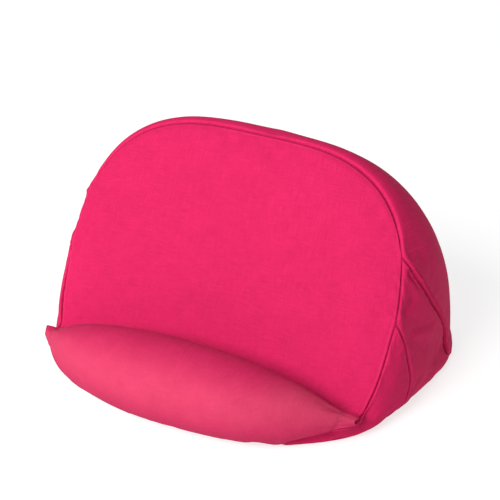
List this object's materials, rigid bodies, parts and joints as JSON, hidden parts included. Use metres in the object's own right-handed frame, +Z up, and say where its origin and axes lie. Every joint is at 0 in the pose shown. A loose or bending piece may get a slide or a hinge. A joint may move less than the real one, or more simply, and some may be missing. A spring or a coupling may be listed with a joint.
{
  "type": "tablet cushion stand",
  "caption": "Bead-filled fabric wedge with a crescent roll along its front and a groove that holds a slate device leaning back.",
  "frame": {"origin": "on the floor under the middle of the whole cushion's bounding box", "axes": "+X to the cushion's right as seen from the front, +Y to its back, +Z up; the roll and groove face -Y"},
  "size_m": [0.2538, 0.1958, 0.1465],
  "materials": {
    "woven_cover": "fine plain weave, satin, taut",
    "divider_cloth": "plain lining, matte",
    "bead_fill": "loose foam beads, matte"
  },
  "bodies": {
    "root": {"roll_panel": "woven_cover", "backrest_panel": "woven_cover", "back_panel": "woven_cover", "side_gusset_left": "woven_cover", "side_gusset_right": "woven_cover", "side_front_left": "woven_cover", "side_front_right": "woven_cover", "base_panel": "woven_cover", "divider_strip": "divider_cloth", "roll_bead_fill": "bead_fill", "body_bead_fill": "bead_fill"}
  },
  "joints": []
}
